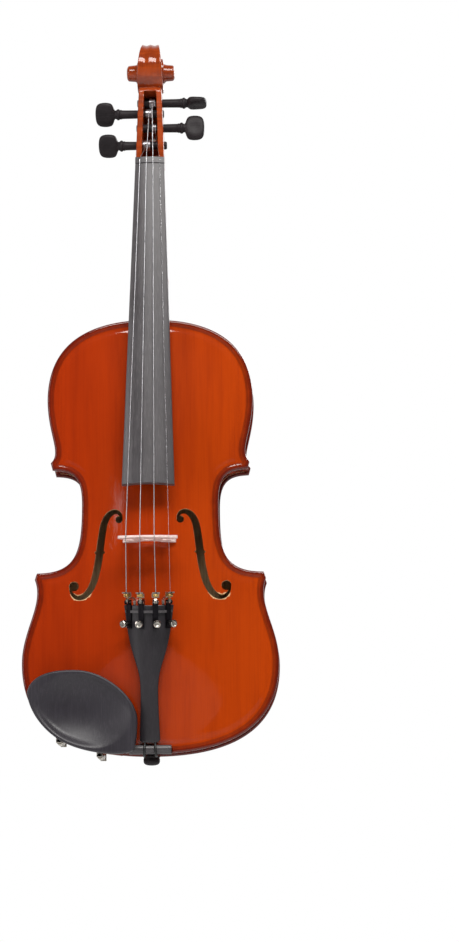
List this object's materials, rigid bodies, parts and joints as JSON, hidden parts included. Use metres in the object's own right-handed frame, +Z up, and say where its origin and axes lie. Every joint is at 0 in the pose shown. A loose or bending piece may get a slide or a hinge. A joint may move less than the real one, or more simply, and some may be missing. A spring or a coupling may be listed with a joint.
{
  "type": "violin",
  "caption": "Full-size violin with carved plates, sound holes, scroll, turning tuning pegs, working fine tuners and a clamped chinrest, hung upright by its scroll.",
  "frame": {"origin": "at the throat under the scroll's eyes, where a wall hanger's yoke carries the violin", "axes": "+Z up towards the scroll, belly and strings towards -Y, bass side at -X"},
  "size_m": [0.208, 0.0939, 0.6034],
  "materials": {
    "belly_varnish": "spruce under glossy orange-red varnish, shaded darker along the edge",
    "maple_varnish": "flamed maple under glossy red-brown varnish",
    "neck_varnish": "flamed maple under a thinner orange-brown varnish",
    "bare_spruce": "planed, unvarnished",
    "bare_willow": "planed, unvarnished",
    "bridge_maple": "pale maple, unvarnished",
    "ebony": "dyed black wood, satin",
    "black_pegs": "dyed black wood, satin",
    "black_tailpiece": "dyed black wood, satin",
    "black_nylon": "smooth nylon cord",
    "black_chinrest": "dyed black wood, satin, hollowed by hand",
    "black_steel": "black painted steel, satin",
    "nickel": "nickel plated, slightly dull",
    "brass_ball": "turned brass",
    "wound_string": "fine flat winding",
    "plain_steel": "bright drawn wire",
    "cork": "fine cork sheet"
  },
  "bodies": {
    "violin": {"top_plate": "belly_varnish", "back_plate": "maple_varnish", "upper_rib_bass": "maple_varnish", "upper_rib_treble": "maple_varnish", "middle_rib_bass": "maple_varnish", "middle_rib_treble": "maple_varnish", "lower_rib_bass": "maple_varnish", "lower_rib_treble": "maple_varnish", "upper_block": "bare_spruce", "lower_block": "bare_spruce", "corner_blocks": "bare_willow", "top_linings": "bare_willow", "back_linings": "bare_willow", "bass_bar": "bare_spruce", "sound_post": "bare_spruce", "neck": "neck_varnish", "fingerboard": "ebony", "nut": "ebony", "saddle": "ebony", "bridge": "bridge_maple", "tailpiece": "black_tailpiece", "tailpiece_fret": "black_tailpiece", "tailgut": "black_nylon", "end_button": "black_pegs", "string_g": "wound_string", "string_d": "wound_string", "string_a": "wound_string", "string_e": "plain_steel", "tuner_bracket_g": "black_steel", "tuner_bracket_d": "black_steel", "tuner_bracket_a": "black_steel", "tuner_bracket_e": "black_steel", "chinrest_cup": "black_chinrest", "chinrest_cork": "cork"},
    "peg_g": {"peg_g": "black_pegs", "winding_g": "wound_string"},
    "peg_d": {"peg_d": "black_pegs", "winding_d": "wound_string"},
    "peg_a": {"peg_a": "black_pegs", "winding_a": "wound_string"},
    "peg_e": {"peg_e": "black_pegs", "winding_e": "wound_string"},
    "tuner_screw_g": {"tuner_screw_g": "nickel"},
    "tuner_lever_g": {"tuner_lever_g": "nickel", "string_ball_g": "brass_ball"},
    "tuner_screw_d": {"tuner_screw_d": "nickel"},
    "tuner_lever_d": {"tuner_lever_d": "nickel", "string_ball_d": "brass_ball"},
    "tuner_screw_a": {"tuner_screw_a": "nickel"},
    "tuner_lever_a": {"tuner_lever_a": "nickel", "string_ball_a": "brass_ball"},
    "tuner_screw_e": {"tuner_screw_e": "nickel"},
    "tuner_lever_e": {"tuner_lever_e": "nickel", "string_ball_e": "brass_ball"},
    "clamp_bracket": {"clamp_bracket": "nickel", "bracket_cork": "cork"},
    "clamp_barrel_outer": {"clamp_barrel_outer": "nickel"},
    "clamp_barrel_inner": {"clamp_barrel_inner": "nickel"}
  },
  "joints": [
    {"name": "peg_g_turn", "type": "hinge", "parent": "violin", "child": "peg_g", "pos_m": [0, -0.00478, -0.05562], "axis": [-1, 0, 0], "continuous": true},
    {"name": "peg_d_turn", "type": "hinge", "parent": "violin", "child": "peg_d", "pos_m": [0, -0.0018, -0.02778], "axis": [-1, 0, 0], "continuous": true},
    {"name": "peg_a_turn", "type": "hinge", "parent": "violin", "child": "peg_a", "pos_m": [0, -0.00079, -0.01833], "axis": [1, 0, 0], "continuous": true},
    {"name": "peg_e_turn", "type": "hinge", "parent": "violin", "child": "peg_e", "pos_m": [0, -0.00315, -0.0404], "axis": [1, 0, 0], "continuous": true},
    {"name": "tuner_g_screw", "type": "slide", "parent": "violin", "child": "tuner_screw_g", "axis": [0.6018, 0.786, 0.1416], "range_m": [0, 0.0025]},
    {"name": "tuner_g_lever", "type": "hinge", "parent": "violin", "child": "tuner_lever_g", "pos_m": [-0.01654, -0.04616, -0.44309], "axis": [0.7986, -0.5923, -0.1067], "range_deg": [0, 8.6]},
    {"name": "tuner_d_screw", "type": "slide", "parent": "violin", "child": "tuner_screw_d", "axis": [0.2164, 0.9608, 0.1731], "range_m": [0, 0.0025]},
    {"name": "tuner_d_lever", "type": "hinge", "parent": "violin", "child": "tuner_lever_d", "pos_m": [-0.00595, -0.05097, -0.44396], "axis": [0.9763, -0.213, -0.0384], "range_deg": [0, 8.6]},
    {"name": "tuner_a_screw", "type": "slide", "parent": "violin", "child": "tuner_screw_a", "axis": [-0.2164, 0.9608, 0.1731], "range_m": [0, 0.0025]},
    {"name": "tuner_a_lever", "type": "hinge", "parent": "violin", "child": "tuner_lever_a", "pos_m": [0.00595, -0.05097, -0.44396], "axis": [0.9763, 0.213, 0.0384], "range_deg": [0, 8.6]},
    {"name": "tuner_e_screw", "type": "slide", "parent": "violin", "child": "tuner_screw_e", "axis": [-0.6018, 0.786, 0.1416], "range_m": [0, 0.0025]},
    {"name": "tuner_e_lever", "type": "hinge", "parent": "violin", "child": "tuner_lever_e", "pos_m": [0.01654, -0.04616, -0.44309], "axis": [0.7986, 0.5923, 0.1067], "range_deg": [0, 8.6]},
    {"name": "clamp_barrel_outer_turn", "type": "hinge", "parent": "violin", "child": "clamp_barrel_outer", "pos_m": [-0.0732, -0.0085, -0.55206], "axis": [0, 1, 0], "range_deg": [0, 900.5]},
    {"name": "clamp_barrel_inner_turn", "type": "hinge", "parent": "violin", "child": "clamp_barrel_inner", "pos_m": [-0.0406, -0.0085, -0.56371], "axis": [0, 1, 0], "range_deg": [0, 900.5]},
    {"name": "clamp_release", "type": "slide", "parent": "violin", "child": "clamp_bracket", "axis": [0, 1, 0], "range_m": [0, 0.003]}
  ],
  "couplings": [
    {"joint": "tuner_g_lever", "follows": "tuner_g_screw", "rad_per_m": 58.82},
    {"joint": "tuner_d_lever", "follows": "tuner_d_screw", "rad_per_m": 58.82},
    {"joint": "tuner_a_lever", "follows": "tuner_a_screw", "rad_per_m": 58.82},
    {"joint": "tuner_e_lever", "follows": "tuner_e_screw", "rad_per_m": 58.82},
    {"joint": "clamp_barrel_outer_turn", "follows": "clamp_release", "rad_per_m": 5236},
    {"joint": "clamp_barrel_inner_turn", "follows": "clamp_release", "rad_per_m": 5236}
  ]
}
